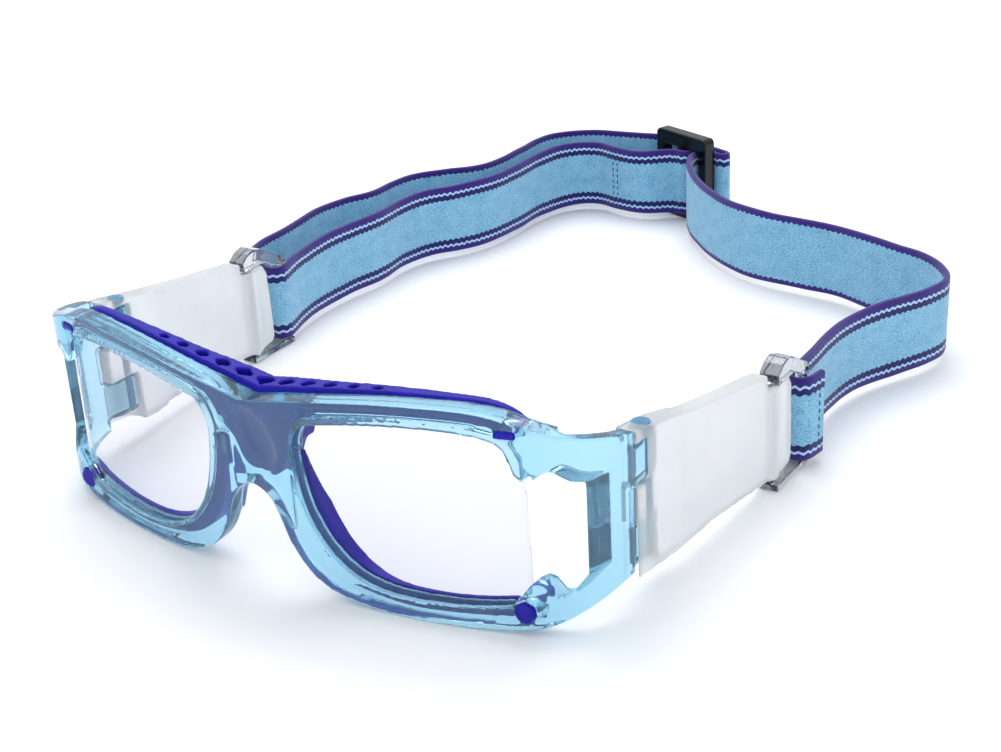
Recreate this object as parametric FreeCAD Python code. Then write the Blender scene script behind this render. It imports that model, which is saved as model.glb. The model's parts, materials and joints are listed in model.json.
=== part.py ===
import FreeCAD, Part
import math
import os

# Sports protective goggles: a one-piece clear frame with two curved lenses, soft pads,
# two hinged side plates, two swivelling strap buckles and one elastic strap with a slider.
# Millimetres. +X to the right as seen from the front, +Y towards the back of the head,
# +Z up. The front faces -Y. The plane X=0 is the symmetry plane of the front.
# Z=0 is the table: the lower rims at the front and the slider at the back stand on it.

V = FreeCAD.Vector

# ---- overall sizes -----------------------------------------------------------------
HALF_WIDTH = 72.6        # symmetry plane to the outer face of a hinge post
FRAME_HEIGHT = 47.4      # lower rim to the highest point of the brow rail
FACE_RADIUS = 200.0      # radius of the curved front face
FRONT_Y = -9.8           # front face at the nose bridge
TEMPLE_REACH = 63.0      # front edge of a side plate to its rear edge
STRAP_WIDTH = 20.5       # elastic webbing
STRAP_THICK = 1.6
STRAP_DEPTH = 230.0      # front datum to the back of the strap loop

# ---- front frame ---------------------------------------------------------------------
RAIL_DEPTH = 5.2         # front to back of the brow rail and the bridge
RIM_DEPTH = 4.2          # front to back of the lower rims
ARM_WALL = 3.4           # wall of the end pieces that turn back to the hinges
POST_END_Y = 18.0        # rear end of the hinge posts
CHANNEL_DEPTH = 0.7      # shallow channel along the brow rail and the lower rims

# ---- lenses and pads -----------------------------------------------------------------
LENS_THICK = 2.0
LENS_SETBACK = 1.3       # front of the frame to the front of a lens
GROOVE_CLEAR = 0.05      # lens to the walls of its groove
LENS_LAP = 1.3           # how far a lens reaches into its groove
PAD_LAP = 0.05           # gap between a pad and the frame it sits on
BROW_PAD_DEEP = 5.4      # brow pad behind the bridge
BROW_PAD_THIN = 1.6      # brow pad at its ends
CHEEK_PAD_DEEP = 4.3     # cheek pad beside the nose
CHEEK_PAD_THIN = 1.0     # cheek pad at its outer end
POCKET_DEPTH = 2.4       # pockets in the top of the brow pad
POCKET_LENGTH = 5.0      # the middle pocket, along the pad
POCKET_WIDTH = 3.6
POCKET_PITCH = 5.6
POCKETS = 11
PEG_RADIUS = 2.3         # round peg of a cheek pad
PEG_ROOM = 0.3           # cheek peg to the lens corner it passes

# ---- hinges --------------------------------------------------------------------------
PIN_X_IN = 2.6           # outer face of the post to the pin axis
PIN_Y = 25.3
PIN_RADIUS = 1.0
PIN_CLEAR = 0.06         # pin to the bores of the side plate, radial
PIN_GRIP = 0.02          # pin to the bores of the frame, radial
PIN_HEAD_RADIUS = 1.9
PIN_HEAD_HEIGHT = 1.1
BARREL_RADIUS = 2.0
HINGE_GAP = 0.35         # between moving faces of a hinge
STOP_GAP = 0.8           # front edge of the side plate to the post
NOTCH_LENGTH = 4.5       # part of the upper knuckle that is flush with the post

# ---- side plates, buckles and slider ---------------------------------------------------
TEMPLE_THICK = 4.0
TEMPLE_LEAN = 4.4        # a side plate is further out at the rear by this much
HUB_IN = 2.2             # pin axis to the inner face of the side plate at the hinge
SLEEVE_RADIUS = 2.4
BAR_RADIUS = 1.4         # strap buckle bars
BAR_CLEAR = 0.1          # buckle bar in the sleeve of the side plate, radial
BUCKLE_LENGTH = 13.5     # front bar to rear bar
BUCKLE_GAP = 0.4         # buckle arms to the ends of the sleeve
STRAP_LIFT = 2.0         # table to the lower edge of the strap
SLIDER_LENGTH = 22.0
SLIDER_THICK = 4.0
SLIDER_END_BAR = 3.0
SLIDER_MID_BAR = 3.2
SLIDER_TOP_BAR = 4.4     # slider above its slots
WEB_GAP = 0.35           # webbing to the hard parts it passes

KX = HALF_WIDTH / 72.6
KZ = FRAME_HEIGHT / 47.4
PIN_X = HALF_WIDTH - PIN_X_IN
CENTRE_Y = FRONT_Y + FACE_RADIUS
STRAP_TOP = STRAP_LIFT + STRAP_WIDTH
PLATE_START = POST_END_Y + STOP_GAP
PLATE_END = PLATE_START + TEMPLE_REACH
BUCKLE_X = HALF_WIDTH + 1.9
BUCKLE_Y = PLATE_END - 7.3

# heights of the hinge knuckles
UPPER_TOP = 35.6 * KZ
UPPER_BOTTOM = 27.2 * KZ
MIDDLE_TOP = UPPER_BOTTOM - HINGE_GAP
MIDDLE_BOTTOM = 18.3 * KZ
LOWER_TOP = MIDDLE_BOTTOM - HINGE_GAP
LOWER_BOTTOM = 9.0 * KZ
CAP_BOTTOM = UPPER_TOP + HINGE_GAP
HEAD_SEAT = CAP_BOTTOM + 0.7
TALL = 60.0 * KZ         # above everything


# ---- helpers ---------------------------------------------------------------------------
def curve(points):
    """An edge through points: a line through two, a smooth curve through more."""
    if len(points) == 2:
        return Part.makeLine(points[0], points[1])
    spline = Part.BSplineCurve()
    spline.interpolate(points)
    return spline.toShape()


def face_xz(runs, y):
    """A flat face across Y bounded by runs of (x, z) points that join end to end."""
    edges = [curve([V(x * KX, y, z * KZ) for x, z in run]) for run in runs]
    return Part.Face(Part.Wire(edges))


def prism_xz(runs, y0, y1):
    return face_xz(runs, y0).extrude(V(0, y1 - y0, 0))


def prism_yz(points, x0, x1):
    corners = [V(x0, y, z) for y, z in points]
    return Part.Face(Part.makePolygon(corners + corners[:1])).extrude(V(x1 - x0, 0, 0))


def box(x0, x1, y0, y1, z0, z1):
    return Part.makeBox(x1 - x0, y1 - y0, z1 - z0, V(x0, y0, z0))


def rod(x, y, z0, z1, radius):
    return Part.makeCylinder(radius, z1 - z0, V(x, y, z0))


def curved_wall(setback, depth, z0=-5.0, z1=70.0):
    """A wall that follows the curved front face, from setback to setback + depth."""
    outer = rod(0, CENTRE_Y, z0, z1, FACE_RADIUS - setback)
    inner = rod(0, CENTRE_Y, z0, z1, FACE_RADIUS - setback - depth)
    front = box(-80 * KX, 80 * KX, FRONT_Y - 1, 40, z0, z1)
    return outer.cut(inner).common(front)


def mirrored(shape):
    return shape.mirror(V(0, 0, 0), V(1, 0, 0))


def one_solid(shape):
    """The single solid of a boolean result, the biggest if there are crumbs."""
    solids = sorted(shape.Solids, key=lambda s: s.Volume)
    return solids[-1]


def soften(shape, picks, radius):
    """Round the picked edges."""
    return one_solid(shape.makeFillet(radius, picks))


def face_y(x, depth=0.0):
    """Y of the curved front face at x, or of a surface that lies deeper by depth."""
    return CENTRE_Y - math.sqrt((FACE_RADIUS - depth) ** 2 - x ** 2)


def plan_prism(points, z0, z1):
    """A prism over a plan polygon of (x, y) points."""
    corners = [V(x, y, z0) for x, y in points]
    return Part.Face(Part.makePolygon(corners + corners[:1])).extrude(V(0, 0, z1 - z0))


def tapered_back(taper, depth, thin, deep):
    """Everything in front of a smooth back face whose depth follows taper, [(x, share)]."""
    back = [V(x * KX, face_y(x * KX, depth) + thin + share * (deep - thin), -2) for x, share in taper]
    front = [V(back[-1].x, FRONT_Y - 5, -2), V(back[0].x, FRONT_Y - 5, -2)]
    edges = [curve(back), curve([back[-1], front[0]]), curve(front), curve([front[1], back[0]])]
    return Part.Face(Part.Wire(edges)).extrude(V(0, 0, TALL))


# ---- outlines of the right half of the front, (x, z) ----------------------------------
TOP_EDGE = [(0, 41.6), (10, 43.6), (19.5, 45.1), (28, 46.3), (37, 47.1), (45, 47.4), (51, 47.2),
            (56, 46.3), (60, 45.1), (64.5, 43.6), (68, 42.6), (82, 42.5)]
BOTTOM_EDGE = [(82, 16), (72.6, 8.7), (70.9, 7.0), (67.5, 4.6), (63.5, 2.6), (57.8, 1.2), (49.9, 0.4),
               (41.7, 0.0), (33.2, 0.1), (24.2, 0.9), (17.3, 2.6), (13.9, 4.6), (10.6, 7.9),
               (8.5, 11.3), (6.4, 16.6), (4.4, 20.6), (0, 23.0)]
OPENING_TOP = [(13.7, 38.9), (25.7, 41.2), (36.4, 42.4), (46.3, 42.6), (51, 42.2), (54.6, 41.2)]
UPPER_HOOK = [(54.6, 41.2), (56.2, 39.2), (57.2, 36.4), (58.2, 34.6), (59.8, 34.0), (61.8, 35.2),
              (64, 36.4)]
WINDOW = [(64, 36.4), (66, 34.6), (67.5, 33.5), (68.6, 33.2)]
WINDOW_SIDE = [(68.6, 33.2), (68.6, 13.1)]
WINDOW_LOW = [(68.6, 13.1), (67.2, 11.0), (65.6, 9.0)]
LOWER_HOOK = [(65.6, 9.0), (64.4, 8.7), (63.4, 10.0), (62.2, 11.9), (60.6, 12.2), (59.2, 11.0),
              (57.8, 8.9), (55.8, 6.6)]
OPENING_LOW = [(55.8, 6.6), (50.2, 5.6), (42, 4.9), (33.5, 4.9), (24.9, 6.6), (20.4, 9.2),
               (17.2, 12.4), (14.1, 17.3), (12.2, 22.6), (10.9, 30.9)]
OPENING_NOSE = [(10.9, 30.9), (11.2, 35.4), (13.7, 38.9)]
OPENING = [OPENING_TOP, UPPER_HOOK, WINDOW, WINDOW_SIDE, WINDOW_LOW, LOWER_HOOK, OPENING_LOW,
           OPENING_NOSE]

# the glass line of a lens before it is grown into its groove
LENS_LINE = [OPENING_TOP, [(54.6, 41.2), (56.9, 38.4)], [(56.9, 38.4), (57.7, 9.2)],
             [(57.7, 9.2), (55.8, 6.6)], OPENING_LOW, OPENING_NOSE]


def grow(runs, amount):
    """The same closed outline, with every point moved outwards by amount."""
    loop = [point for run in runs for point in run[:-1]]
    moved = {}
    for i, point in enumerate(loop):
        before = loop[i - 1]
        after = loop[(i + 1) % len(loop)]
        dx = after[0] - before[0]
        dz = after[1] - before[1]
        span = math.hypot(dx, dz)
        moved[point] = (point[0] - amount * dz / span, point[1] + amount * dx / span)
    return [[moved[point] for point in run] for run in runs]


def lens_shape(margin, thick, setback):
    prism = prism_xz(grow(LENS_LINE, LENS_LAP + margin), FRONT_Y - 2, 40)
    return one_solid(prism.common(curved_wall(setback, thick)))


RAIL_CHANNEL = [[(13, 41.4), (26, 43.3), (38, 44.4), (51, 44.5)], [(51, 44.5), (51, 45.7)],
                [(51, 45.7), (38, 45.6), (26, 44.6), (13, 42.6)], [(13, 42.6), (13, 41.4)]]
RIM_CHANNEL = [[(21.4, 5.6), (25.5, 3.3), (33.5, 2.0), (42, 1.9), (53, 2.6)], [(53, 2.6), (53, 4.4)],
               [(53, 4.4), (42, 3.5), (33.5, 3.5), (25.9, 4.8), (21.4, 5.6)]]
# behind this area the frame is only as deep as the lower rims
RIM_AREA = [[(7.9, -1), (60.7, -1)], [(60.7, -1), (60.7, 31.9)], [(60.7, 31.9), (7.9, 31.9)],
            [(7.9, 31.9), (7.9, -1)]]
CHEEK_PEG_AT = (58.4, 5.4)
BROW_PEG_AT = (56.2, 43.4)


def channel(runs):
    return prism_xz(runs, FRONT_Y - 2, 40).common(curved_wall(-0.5, 0.5 + CHANNEL_DEPTH))


def cheek_peg(margin):
    """The round peg of a cheek pad, from just proud of the front face back into the pad."""
    x = CHEEK_PEG_AT[0] * KX
    start = V(x, face_y(x) - 0.2, CHEEK_PEG_AT[1] * KZ)
    return Part.makeCylinder(PEG_RADIUS + margin, RIM_DEPTH + 1.2, start, V(0, 1, 0))


def brow_peg(margin):
    """The flat peg of the brow pad."""
    x = BROW_PEG_AT[0] * KX
    z = BROW_PEG_AT[1] * KZ
    m = margin
    peg = box(x - 2.0 - m, x + 2.0 + m, FRONT_Y, 20, z - 0.8 - m, z + 0.8 + m)
    return peg.common(curved_wall(-0.15, RAIL_DEPTH + 0.6))


def right_lens():
    lens = lens_shape(0.0, LENS_THICK, LENS_SETBACK)
    return one_solid(lens.cut(cheek_peg(PEG_ROOM)))


def end_wall():
    """Plan of the rim and the end piece that turns back to the hinge, as a tall wall."""
    w = HALF_WIDTH
    start = 56.0 * KX
    y0 = face_y(start)
    y1 = POST_END_Y

    def part_way(share):
        return y0 + share * (y1 - y0)

    outer = [V(start, y0, -1), V(w - 12.6, part_way(0.058), -1), V(w - 8.1, part_way(0.168), -1),
             V(w - 4.6, part_way(0.344), -1), V(w - 2.0, part_way(0.569), -1),
             V(w - 0.4, part_way(0.80), -1), V(w, y1, -1)]
    a = ARM_WALL
    inner = [V(w - a, y1, -1), V(w - a - 0.4, part_way(0.825), -1), V(w - a - 1.8, part_way(0.645), -1),
             V(w - a - 4.3, part_way(0.464), -1), V(w - a - 7.4, part_way(0.354), -1),
             V(start, face_y(start, RAIL_DEPTH), -1)]
    edges = [curve(outer), curve([outer[-1], inner[0]]), curve(inner), curve([inner[-1], outer[0]])]
    return Part.Face(Part.Wire(edges)).extrude(V(0, 0, TALL))


def knuckle(z0, z1):
    """One frame knuckle: a barrel on the pin axis and the arm that carries it."""
    r = BARREL_RADIUS
    y = POST_END_Y
    arm = plan_prism([(PIN_X - 0.7, y - 2), (PIN_X + r, y - 2), (PIN_X + r, PIN_Y),
                      (PIN_X - r, PIN_Y), (PIN_X - r, y + 3.5), (PIN_X - 0.7, y + 0.6)], z0, z1)
    return arm.fuse(rod(PIN_X, PIN_Y, z0, z1, r))


def right_frame():
    outline = prism_xz([TOP_EDGE, [(82, 42.5), (82, 16)], BOTTOM_EDGE, [(0, 23.0), (0, 41.6)]],
                       FRONT_Y - 2, 30)
    front = box(0, 56.0 * KX, FRONT_Y - 2, 40, -1, TALL).common(curved_wall(0, RAIL_DEPTH))
    body = front.fuse(end_wall()).common(outline)
    body = body.cut(prism_xz(OPENING, FRONT_Y - 3, 30))
    # the top of an end piece falls towards the hinge
    body = body.cut(prism_yz([(5, 42.6 * KZ), (POST_END_Y + 1, 39.1 * KZ), (POST_END_Y + 1, TALL),
                              (5, TALL)], HALF_WIDTH - 9, HALF_WIDTH + 1))
    body = body.cut(prism_xz(RIM_AREA, FRONT_Y - 3, 30).common(curved_wall(RIM_DEPTH, 4.0)))
    body = body.cut(lens_shape(GROOVE_CLEAR, LENS_THICK + 2 * GROOVE_CLEAR,
                               LENS_SETBACK - GROOVE_CLEAR))
    body = body.cut(channel(RAIL_CHANNEL))
    body = body.cut(channel(RIM_CHANNEL))
    body = body.fuse(knuckle(UPPER_BOTTOM, UPPER_TOP))
    body = body.fuse(knuckle(LOWER_BOTTOM, LOWER_TOP))
    body = body.fuse(box(PIN_X, HALF_WIDTH, POST_END_Y - 0.5, POST_END_Y + NOTCH_LENGTH,
                         UPPER_BOTTOM, UPPER_TOP))
    body = body.cut(rod(PIN_X, PIN_Y, 0, TALL, PIN_RADIUS + PIN_GRIP))
    body = body.cut(cheek_peg(PAD_LAP))
    body = body.cut(brow_peg(PAD_LAP))
    return one_solid(body)


def front_frame():
    half = right_frame()
    whole = half.fuse(mirrored(half))
    return one_solid(whole.removeSplitter())


# ---- soft pads ---------------------------------------------------------------------------
PAD_TOP = [(0, 42.8), (10, 44.6), (19.5, 46.0), (28, 47.0), (37, 47.6), (45, 47.8), (51, 47.4),
           (55, 46.0), (57.4, 44.2)]
PAD_UNDER = [(56.6, 42.2), (46.3, 43.2), (36.4, 43.0), (25.7, 41.8), (13.4, 39.4)]
BROW_TAPER = [(0, 1.0), (4, 0.97), (15, 0.68), (30, 0.39), (45, 0.18), (60, 0.0)]
CHEEK_LINE = [[(10.9, 31.4), (12.2, 22.6), (14.1, 17.3), (17.2, 12.4), (20.4, 9.2), (24.9, 6.6),
               (33.5, 4.9), (42, 4.9), (50.2, 5.6), (55.8, 6.6)], [(55.8, 6.6), (60.4, 8.2)],
              [(60.4, 8.2), (60.4, 2.8)],
              [(60.4, 2.8), (56.5, 2.5), (50.2, 2.2), (42, 1.8), (33.5, 1.9), (23.5, 3.4),
               (18.4, 5.8), (14.4, 9.4), (11.2, 15.2), (9.4, 21.4), (8.4, 30.6)],
              [(8.4, 30.6), (10.9, 31.4)]]
CHEEK_TAPER = [(0, 1.0), (12, 1.0), (20, 0.72), (30, 0.2), (40, 0.03), (64, 0.0)]


def pocket(number):
    """One rhomb-shaped pocket, cut from the top of the brow pad; smaller further out."""
    reach = abs(number) / (POCKETS / 2)
    angle = number * POCKET_PITCH / (FACE_RADIUS - RAIL_DEPTH)
    x = FACE_RADIUS * math.sin(angle)
    share = 1.0 - 0.75 * reach
    middle = (BROW_PAD_THIN + share * (BROW_PAD_DEEP - BROW_PAD_THIN)) / 2
    radius = FACE_RADIUS - RAIL_DEPTH - middle
    cx = radius * math.sin(angle)
    cy = CENTRE_Y - radius * math.cos(angle)
    half_long = POCKET_LENGTH / 2 * (1 - 0.35 * reach)
    half_wide = POCKET_WIDTH / 2 * (1 - 0.6 * reach)
    before = [p for p in PAD_TOP if p[0] * KX <= abs(x)][-1]
    floor = before[1] * KZ - POCKET_DEPTH
    corners = []
    for along, across in ((half_long, 0), (0, half_wide), (-half_long, 0), (0, -half_wide)):
        corners.append((cx + along * math.cos(angle) - across * math.sin(angle),
                        cy + along * math.sin(angle) + across * math.cos(angle)))
    return plan_prism(corners, floor, TALL)


def brow_pad():
    runs = [PAD_TOP, [(57.4, 44.2), (56.6, 42.2)], PAD_UNDER,
            [(13.4, 39.4), (10.8, 36.2), (9.8, 32.8)], [(9.8, 32.8), (7.8, 31.2), (5.2, 25.8), (0, 24.2)],
            [(0, 24.2), (0, 42.8)]]
    behind = curved_wall(RAIL_DEPTH + PAD_LAP, BROW_PAD_DEEP + 1)
    strip = prism_xz(runs, FRONT_Y - 2, 40).common(behind)
    half = strip.common(tapered_back(BROW_TAPER, RAIL_DEPTH + PAD_LAP, BROW_PAD_THIN, BROW_PAD_DEEP))
    half = one_solid(half)
    pad = half.fuse(mirrored(half)).removeSplitter()
    for peg in (brow_peg(0.0), mirrored(brow_peg(0.0))):
        pad = pad.fuse(peg)
    for i in range(POCKETS):
        pad = pad.cut(pocket(i - (POCKETS - 1) // 2))
    return one_solid(pad)


def right_cheek_pad():
    depth = RIM_DEPTH + PAD_LAP
    strip = prism_xz(CHEEK_LINE, FRONT_Y - 2, 40).common(curved_wall(depth, CHEEK_PAD_DEEP + 1))
    strip = strip.common(tapered_back(CHEEK_TAPER, depth, CHEEK_PAD_THIN, CHEEK_PAD_DEEP))
    # the upper end is thinner again
    low = face_y(9.0 * KX, depth)
    strip = strip.cut(prism_yz([(low + CHEEK_PAD_DEEP, 19.0 * KZ), (low + CHEEK_PAD_THIN, 32.0 * KZ),
                                (low + 9, 32.0 * KZ), (low + 9, 19.0 * KZ)], 0, 14 * KX))
    return one_solid(one_solid(strip).fuse(cheek_peg(0.0)))


# ---- side plates ---------------------------------------------------------------------------
def temple_outline():
    """Side view of a side plate, (y, z)."""
    y = PLATE_START
    k = TEMPLE_REACH / 63.0
    return [(y, 38.9 * KZ), (y + 6.5, 37.7 * KZ), (y + 12.7 * k, 36.4 * KZ), (y + 29.2 * k, 33.2 * KZ),
            (y + 49.2 * k, 30.0 * KZ), (PLATE_END - 5.6, STRAP_TOP + 5.4),
            (PLATE_END - 2.2, STRAP_TOP + 3.6), (PLATE_END - 0.4, STRAP_TOP + 0.6),
            (PLATE_END, STRAP_LIFT + 3.0), (PLATE_END - 1.2, STRAP_LIFT + 1.5),
            (PLATE_END - 6.8, STRAP_LIFT + 0.9), (y + 42.7 * k, 4.1 * KZ), (y + 29.2 * k, 5.3 * KZ),
            (y + 15.7 * k, 5.0 * KZ), (y, 6.3 * KZ)]


def leaning_plate():
    """A tall slab with the lean of a side plate."""
    y0 = PLATE_START - 2
    y1 = PLATE_END + 2
    x0 = HALF_WIDTH
    x1 = HALF_WIDTH + TEMPLE_LEAN
    return plan_prism([(x0, y0), (x1, y1), (x1 - TEMPLE_THICK, y1), (x0 - TEMPLE_THICK, y0)], -1, TALL)


def knuckle_way(z0, z1):
    """Room in the side plate for a frame knuckle and its arm, over the whole swing."""
    r = BARREL_RADIUS + HINGE_GAP
    way = rod(PIN_X, PIN_Y, z0, z1, r)
    way = way.fuse(box(PIN_X - 12, PIN_X + r, PLATE_START - 4, PIN_Y, z0, z1))
    return way.fuse(box(PIN_X - 12, PIN_X, PIN_Y - 1, PIN_Y + r, z0, z1))


def right_temple():
    outline = prism_yz(temple_outline(), PIN_X - 12, HALF_WIDTH + 8)
    hub = plan_prism([(PIN_X - HUB_IN, PLATE_START), (HALF_WIDTH, PLATE_START), (HALF_WIDTH, PIN_Y + 12),
                      (HALF_WIDTH - TEMPLE_THICK + 0.6, PIN_Y + 12), (PIN_X - HUB_IN, PIN_Y + 5)],
                     0, TALL)
    body = leaning_plate().fuse(hub).common(outline)
    body = body.cut(knuckle_way(UPPER_BOTTOM - HINGE_GAP, UPPER_TOP + HINGE_GAP))
    body = body.cut(knuckle_way(-1, LOWER_TOP + HINGE_GAP))
    body = body.cut(box(PIN_X - 12, HALF_WIDTH + 4, PLATE_START - 4, POST_END_Y + NOTCH_LENGTH + 0.5,
                        UPPER_BOTTOM - HINGE_GAP, UPPER_TOP + HINGE_GAP))
    # the inner front corner clears the post as it turns
    corner = box(PIN_X - 12, PIN_X, PLATE_START - 4, PIN_Y, 0, TALL)
    body = body.cut(corner.cut(rod(PIN_X, PIN_Y, -1, TALL + 1, PIN_Y - PLATE_START)))
    # the pin, its head, and the sleeve for the buckle
    body = body.cut(rod(PIN_X, PIN_Y, 0, TALL, PIN_RADIUS + PIN_CLEAR))
    body = body.cut(rod(PIN_X, PIN_Y, HEAD_SEAT, TALL, PIN_HEAD_RADIUS + PIN_CLEAR))
    sleeve_low = STRAP_LIFT + BUCKLE_GAP
    sleeve_top = STRAP_TOP + 3.2
    body = body.fuse(rod(BUCKLE_X, BUCKLE_Y, sleeve_low, sleeve_top, SLEEVE_RADIUS))
    body = body.cut(rod(BUCKLE_X, BUCKLE_Y, -1, TALL, BAR_RADIUS + BAR_CLEAR))
    for z0, z1 in ((sleeve_top, TALL), (-1, sleeve_low)):
        body = body.cut(rod(BUCKLE_X, BUCKLE_Y, z0, z1, 4.2))
        body = body.cut(box(BUCKLE_X - 8, BUCKLE_X + 8, BUCKLE_Y, BUCKLE_Y + 12, z0, z1))
    return one_solid(body.removeSplitter())


def right_pin():
    shank = rod(PIN_X, PIN_Y, LOWER_BOTTOM - 0.4, HEAD_SEAT + 0.5, PIN_RADIUS)
    head = rod(PIN_X, PIN_Y, HEAD_SEAT + 0.02, HEAD_SEAT + PIN_HEAD_HEIGHT, PIN_HEAD_RADIUS)
    return one_solid(shank.fuse(head))


# ---- strap buckles ----------------------------------------------------------------------------
def buckle_rear():
    """Plan place of the rear bar of the right buckle."""
    return BUCKLE_X + 1.4, BUCKLE_Y + BUCKLE_LENGTH


def right_buckle():
    """A closed ring: front bar in the sleeve, rear bar in the strap loop, two rounded arms."""
    rear_x, rear_y = buckle_rear()
    top = STRAP_TOP + 3.2 + BUCKLE_GAP
    low = STRAP_LIFT - WEB_GAP
    side = BAR_RADIUS + 0.2
    front = rod(BUCKLE_X, BUCKLE_Y, low - 0.8, top + 1.6, BAR_RADIUS)
    rear = rod(rear_x, rear_y, low - 0.8, STRAP_TOP + 2.2, BAR_RADIUS)
    ring = front.fuse(rear)
    upper = [(BUCKLE_Y - side, top), (BUCKLE_Y - side - 0.6, top + 2.6), (BUCKLE_Y + 0.2, top + 4.4),
             (BUCKLE_Y + 2.8, top + 5.0), (BUCKLE_Y + 6.2, top + 3.8), (rear_y, STRAP_TOP + 3.2),
             (rear_y + side, STRAP_TOP + 0.6), (rear_y - side, STRAP_TOP + 0.6),
             (BUCKLE_Y + 6.4, top)]
    ring = ring.fuse(prism_yz(upper, BUCKLE_X - side, rear_x + side))
    lower = box(BUCKLE_X - side, rear_x + side, BUCKLE_Y - side, rear_y + side, low - 1.6, low)
    ring = ring.fuse(lower)
    return one_solid(ring.removeSplitter())


# ---- strap and slider -------------------------------------------------------------------------
SLIDE_ANGLE = -20.0      # the slider leans with the strap
SLIDER_AT = (-22.5, STRAP_DEPTH - 7.0)


def at_slider(along_mm, out_mm):
    """A plan point by its place along the slider and outwards through its thickness."""
    a = math.radians(SLIDE_ANGLE)
    along = V(math.cos(a), math.sin(a), 0)
    out = V(-math.sin(a), math.cos(a), 0)
    return V(SLIDER_AT[0] * KX, SLIDER_AT[1], 0) + along * along_mm + out * out_mm


def slider_block(a0, a1, o0, o1, z0, z1):
    corners = [at_slider(a0, o0), at_slider(a1, o0), at_slider(a1, o1), at_slider(a0, o1)]
    return plan_prism([(c.x, c.y) for c in corners], z0, z1)


def slider():
    low = STRAP_LIFT - WEB_GAP
    high = STRAP_TOP + WEB_GAP
    half = SLIDER_LENGTH / 2
    t = SLIDER_THICK / 2
    body = slider_block(-half, half, -t, t, 0, high + SLIDER_TOP_BAR)
    corners = [e for e in body.Edges if abs(e.Length - SLIDER_THICK) < 0.01]
    body = soften(body, corners, 1.6)
    middle = SLIDER_MID_BAR / 2
    inside = half - SLIDER_END_BAR
    body = body.cut(slider_block(-inside, -middle, -t - 1, t + 1, low, high))
    body = body.cut(slider_block(middle, inside, -t - 1, t + 1, low, high))
    return one_solid(body)


def bow(a, middle, b):
    """An arc through three points, or a line where they are nearly straight."""
    off = (middle - a).cross(b - a).Length / max((b - a).Length, 1e-9)
    if off < 0.002:
        return Part.makeLine(a, b)
    return Part.Arc(a, middle, b).toShape()


def band(points, z0, z1, thick):
    """Webbing on edge: a smooth centre line through points, thickened with arcs and raised."""
    spline = Part.BSplineCurve()
    spline.interpolate(points)
    total = spline.length()
    longest = 8.0

    def sharpest_bend(here):
        """The highest curvature within the longest step ahead."""
        places = [min(max(here + longest * i / 8, 1e-6), total - 1e-6) for i in range(9)]
        return max(spline.curvature(spline.parameterAtDistance(d, spline.FirstParameter)) for d in places)

    stops = [0.0]
    while stops[-1] < total:
        here = stops[-1]
        step = min(longest, max(0.8, 0.5 / max(sharpest_bend(here), 1e-4)))
        stops.append(total if here + 1.4 * step > total else here + step)

    def sides(distance):
        u = spline.FirstParameter
        if distance > 0:
            u = spline.parameterAtDistance(min(distance, total - 1e-6), spline.FirstParameter)
        p = spline.value(u)
        t = spline.tangent(u)[0]
        n = V(-t.y, t.x, 0) * (thick / 2)
        return p + n, p - n

    ends = [sides(d) for d in stops]
    middles = [sides((a + b) / 2) for a, b in zip(stops, stops[1:])]
    left = [bow(a[0], m[0], b[0]) for a, m, b in zip(ends, middles, ends[1:])]
    right = [bow(a[1], m[1], b[1]) for a, m, b in zip(ends, middles, ends[1:])]
    start = Part.makeLine(ends[0][1], ends[0][0])
    stop = Part.makeLine(ends[-1][0], ends[-1][1])
    face = Part.Face(Part.Wire(left + [stop] + right[::-1] + [start]))
    face.translate(V(0, 0, z0))
    return face.extrude(V(0, 0, z1 - z0))


def at(x, y):
    """A plan point of the strap, scaled with the width and depth of the goggles."""
    return V(x * KX, BUCKLE_Y + (y - 74.5) * (STRAP_DEPTH - BUCKLE_Y) / (230.0 - 74.5), 0)


def buckle_loop(side, steps, start, stop):
    """Points of a webbing loop round the rear bar of a buckle, by angle from +Y."""
    x, y = buckle_rear()
    r = BAR_RADIUS + WEB_GAP + STRAP_THICK / 2
    points = []
    for i in range(steps + 1):
        a = math.radians(start + (stop - start) * i / steps)
        points.append(V(side * (x + r * math.sin(a)), y + r * math.cos(a), 0))
    return points


def centre_bar_loop(start, stop, steps):
    """Points of the sewn end round the centre bar of the slider."""
    r = math.hypot(SLIDER_MID_BAR / 2, SLIDER_THICK / 2) + WEB_GAP + STRAP_THICK / 2
    points = []
    for i in range(steps + 1):
        a = math.radians(start + (stop - start) * i / steps)
        points.append(at_slider(r * math.cos(a), r * math.sin(a)))
    return points


INNER_PLY = [(-76, 97), (-77.6, 108), (-77.4, 120), (-75.4, 133), (-75.8, 145), (-73.6, 155),
             (-68, 163), (-63.6, 173), (-62, 185), (-61.6, 200), (-57.6, 212), (-50.6, 216.4),
             (-42, 214.6), (-34, 214.2)]
OUTER_PLY = [(-88, 92), (-91.2, 99), (-92, 110), (-93, 120), (-93.6, 130), (-92, 139),
             (-88.6, 147), (-88, 158), (-85.4, 167), (-79.6, 174), (-73.4, 180), (-70.4, 190),
             (-70, 202), (-69.6, 213), (-66.4, 221), (-60, 226.6), (-51, 229.4), (-42, 231)]
FRONT_RUN = [(-16.2, 213.4), (-11.2, 205), (-4.4, 197), (4, 189.4), (13, 183.6), (23, 180.2),
             (36, 179), (47, 178), (57, 174.6), (66, 171.4), (75, 168), (82, 162),
             (85.2, 155), (84, 147.6), (80, 139), (76, 131), (73.2, 122), (72.4, 112), (73, 100)]


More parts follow.
